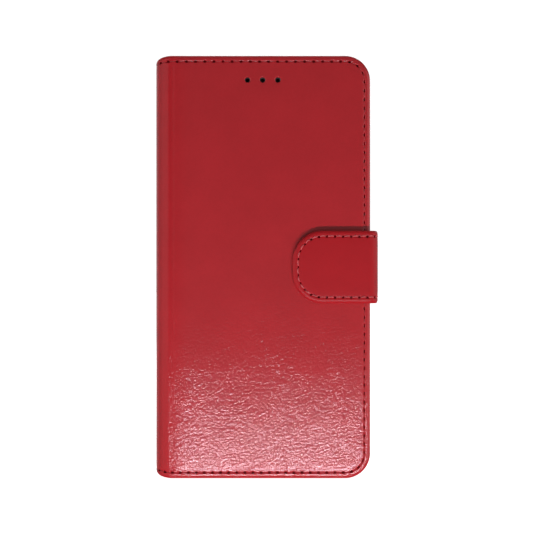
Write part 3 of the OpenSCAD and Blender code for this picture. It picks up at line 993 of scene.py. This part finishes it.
# Bobbin side of the edge seams: on the lining, and on the cash pocket where it covers the lining
def inner_place(side):
    wrap = cover_place(side)

    def place(s, z, depth):
        points = wrap(s, z, depth)
        if side < 0:
            over = (points[..., 0] > cash_low[0] + 0.2) & (np.asarray(z) < cash_high[2])
            points[..., 1] += np.where(over, cash_high[1] - cash_low[1], 0)
        return points

    return place


def bobbin_stitches(name, side):
    return stitches(name, inner_place(side), inner_seam, thread_red, -0.2, COVER_T - 0.08, 0.26, 0.15)


front_inner = bobbin_stitches("front_inner_stitches", -1)
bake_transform(front_inner)
back_inner = bobbin_stitches("back_inner_stitches", 1)
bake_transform(back_inner)

# ---------------------------------------------------------------- the phone tray
WALL = 1.2
TRAY_RADII = (9.6, 9.6, 9.6, 9.6)
tray_t = tray_high[1] - tray_low[1]
tray_path = box_path(tray_low[0], tray_high[0], tray_low[2], tray_high[2], TRAY_RADII, 0.8)
tray_rows = [
    (WALL + 1.2, WALL, 0, 0),
    (WALL + 0.35, WALL + 0.03, 0, 0),
    (WALL + 0.1, WALL + 0.15, 0, 0),
    (WALL, WALL + 0.45, 0, 0),
    (WALL, 5.0, 0, 0),
    (WALL, tray_t - 1.4, 0, 0),
    (WALL + 0.1, tray_t - 1.0, 0, 0),
    (WALL + 0.55, tray_t - 0.8, 0, 0),
    (WALL + 0.75, tray_t - 0.62, 0, 0),
    (WALL + 0.75, tray_t - 0.3, 0, 0),
    (WALL + 0.6, tray_t - 0.08, 0, 0),
    (WALL + 0.3, tray_t, 0, 0),
    (0.55, tray_t, 0, 0),
    (0.25, tray_t - 0.08, 0, 0),
    (0.06, tray_t - 0.3, 0, 0),
    (0.0, tray_t - 0.65, 0, 0),
    (0.0, 5.0, 0, 0),
    (0.0, 1.0, 0, 0),
    (0.1, 0.5, 0, 0),
    (0.35, 0.15, 0, 0),
    (0.8, 0.0, 0, 0),
    (1.6, 0.0, 0, 0),
]
tray_window = box_path(
    FORE_X - WINDOW_FAR, FORE_X - WINDOW_NEAR, CASE_H - WINDOW_BOTTOM, CASE_H - WINDOW_TOP, WINDOW_RADII, 0.5
)
tray = make_sheet(
    "phone_tray_shell", flat_place(tray_high[1]), tray_path, tray_rows, black_tpu, pitch=(6.0, 6.0),
    holes=[(tray_window, [(0.3, 0), (0.08, 0.08), (0.0, 0.3), (0.0, 0.9), (0.08, 1.12), (0.3, 0)])],
)


def rounded_cutter(centre, size, r):
    """A block rounded along its thinnest direction, for cutting a slot through a wall."""
    mesh = bmesh.new()
    bmesh.ops.create_cube(mesh, size=1)
    for vert in mesh.verts:
        vert.co = Vector(c * MM + v * d * MM for c, v, d in zip(centre, vert.co, size))
    thin = min(range(3), key=lambda k: size[k])
    edges = [e for e in mesh.edges if abs((e.verts[0].co - e.verts[1].co)[thin]) > 1e-5]
    bmesh.ops.bevel(mesh, geom=edges, offset=r * MM, segments=6, affect="EDGES", profile=0.5)
    data = bpy.data.meshes.new("cutter")
    mesh.to_mesh(data)
    mesh.free()
    made = bpy.data.objects.new("cutter", data)
    bpy.context.scene.collection.objects.link(made)
    return made


def carve(piece, cutters):
    """Cuts the blocks out of a piece, and keeps the result as its mesh."""
    for cutter in cutters:
        cut = piece.modifiers.new("cut", "BOOLEAN")
        cut.operation, cut.solver, cut.object = "DIFFERENCE", "EXACT", cutter
    graph = bpy.context.evaluated_depsgraph_get()
    data = bpy.data.meshes.new_from_object(piece.evaluated_get(graph))
    piece.modifiers.clear()
    piece.data = data
    data.set_sharp_from_angle(angle=math.radians(40))
    for cutter in cutters:
        bpy.data.objects.remove(cutter)


# The openings for the port, in the bottom wall, and for the side buttons, in the fore-edge wall
OPENING_T, OPENING_R = 5.4, 2.2
PORT_W = 44
BUTTONS_H, BUTTONS_Z = 38, 119
opening_y = tray_high[1] - WALL - 4.0
port_x = (tray_low[0] + tray_high[0]) / 2
carve(tray, [
    rounded_cutter((port_x, opening_y, tray_low[2] + WALL / 2), (PORT_W, OPENING_T, 3.2), OPENING_R),
    rounded_cutter((tray_high[0] - WALL / 2, opening_y, BUTTONS_Z), (3.2, OPENING_T, BUTTONS_H), OPENING_R),
])
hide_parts("phone_tray")
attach(tray, "back_cover")

# ---------------------------------------------------------------- finishes and slots
FINISH = {"board": board_and_hole_shade, "magnet_metal": disc_metal, "adhesive": foam_tape}
slots = {part["node"]: part["material_slot"] for part in frame["record"]["subparts"]}
for node, piece in frame["nodes"].items():
    if slots.get(node) in FINISH:
        piece.data.materials.clear()
        piece.data.materials.append(FINISH[slots[node]])


# ---------------------------------------------------------------- stage, light and camera
FLOOR_DROP = 0.0002


def floor():
    """A white disc under the case, a little below it, that takes no part in its lighting."""
    verts, faces = [(0, 0, 0)], []
    count, radius = 96, 4.0
    for k in range(count):
        angle = 2 * math.pi * k / count
        verts.append((radius * math.cos(angle), radius * math.sin(angle), 0))
        faces.append((0, k + 1, (k + 1) % count + 1))
    made, graph, shader = new_material("white_floor")
    graph.feed(shader, {
        "Base Color": (0.85, 0.85, 0.85, 1),
        "Roughness": 0.9,
        "Emission Color": (1, 1, 1, 1),
        "Emission Strength": 0.95,
    })
    data = bpy.data.meshes.new("floor")
    data.from_pydata(verts, [], faces)
    data.materials.append(made)
    ground = bpy.data.objects.new("floor", data)
    bpy.context.scene.collection.objects.link(ground)
    ground.location.z = -FLOOR_DROP
    ground.visible_diffuse = False
    ground.visible_glossy = False
    ground.visible_shadow = False


def surroundings():
    """A white backdrop that gives only a little light of its own, and most of that from behind."""
    world = bpy.data.worlds.new("studio")
    world.use_nodes = True
    graph = Graph(world.node_tree)
    seen = graph.node("LightPath").outputs["Is Camera Ray"]
    way = graph.node("SeparateXYZ", {0: graph.node("TexCoord").outputs["Generated"]})
    given = graph.maths("MULTIPLY_ADD", graph.ramp(way.outputs["Y"], 0.5, 0.92), 0.8, 0.2)
    unseen = graph.maths("MULTIPLY", given, graph.maths("SUBTRACT", 1.0, seen))
    strength = graph.maths("MULTIPLY_ADD", seen, 1.05, unseen)
    graph.feed(world.node_tree.nodes["Background"], {"Strength": strength, "Color": (1, 1, 1, 1)})
    bpy.context.scene.world = world


def lamp(name, place, aim, size, power, colour=(1, 1, 1), diffuse=True, glossy=True):
    data = bpy.data.lights.new(name, "AREA")
    data.color = colour
    data.shape, data.size, data.size_y, data.energy = "RECTANGLE", size[0], size[1], power
    made = bpy.data.objects.new(name, data)
    made.location = place
    made.rotation_euler = (Vector(aim) - Vector(place)).to_track_quat("-Z", "Y").to_euler()
    made.visible_camera = False
    made.visible_diffuse = diffuse
    made.visible_glossy = glossy
    bpy.context.scene.collection.objects.link(made)


def camera():
    """Looks straight at the front, from a distance at which the frame is a little over 0.2 m wide."""
    data = bpy.data.cameras.new("camera")
    distance, width = 0.55, 0.2079
    data.sensor_width = 36
    data.lens = 36 * distance / width
    made = bpy.data.objects.new("camera", data)
    made.location = (0, FRONT_Y * MM - distance, CASE_H * MM / 2 + FLOOR_DROP)
    made.rotation_euler = (math.radians(90), 0, 0)
    bpy.context.scene.collection.objects.link(made)
    bpy.context.scene.camera = made


floor()
surroundings()
middle = (0, 0, CASE_H * MM / 2)
left, broad = (-0.7, 0.3, 0.12), (1.1, 0.6)
lamp("low_softbox", (0, -0.55, -0.122), (0, 0, 0.03), (0.34, 0.035), 1.8, (1, 0.92, 1.02), diffuse=False)
lamp("under_softbox", (0, -0.45, -0.33), middle, (0.6, 0.06), 3.4, glossy=False)
lamp("left_softbox", left, middle, broad, 1.35, (1, 0.86, 0.9))
lamp("left_glint", left, middle, broad, 1.6, (1, 0.86, 0.9), diffuse=False)
lamp("right_softbox", (0.7, 0.05, 0.12), middle, (0.8, 0.6), 1.7, (1, 0.93, 0.96))
lamp("side_glint", (0.5, -0.42, 0.1), middle, (0.7, 0.6), 1.2, (1, 0.95, 0.97), diffuse=False)
lamp("spine_glint", (-0.5, -0.42, 0.1), middle, (0.7, 0.6), 1.7, (1, 0.95, 0.97), diffuse=False)
lamp("back_softbox", (0.25, 0.75, 0.45), middle, (0.7, 0.5), 3.4)
lamp("top_softbox", (0, 0.1, 0.9), middle, (0.6, 0.3), 2.2)
camera()
bpy.context.scene.view_settings.view_transform = "Standard"
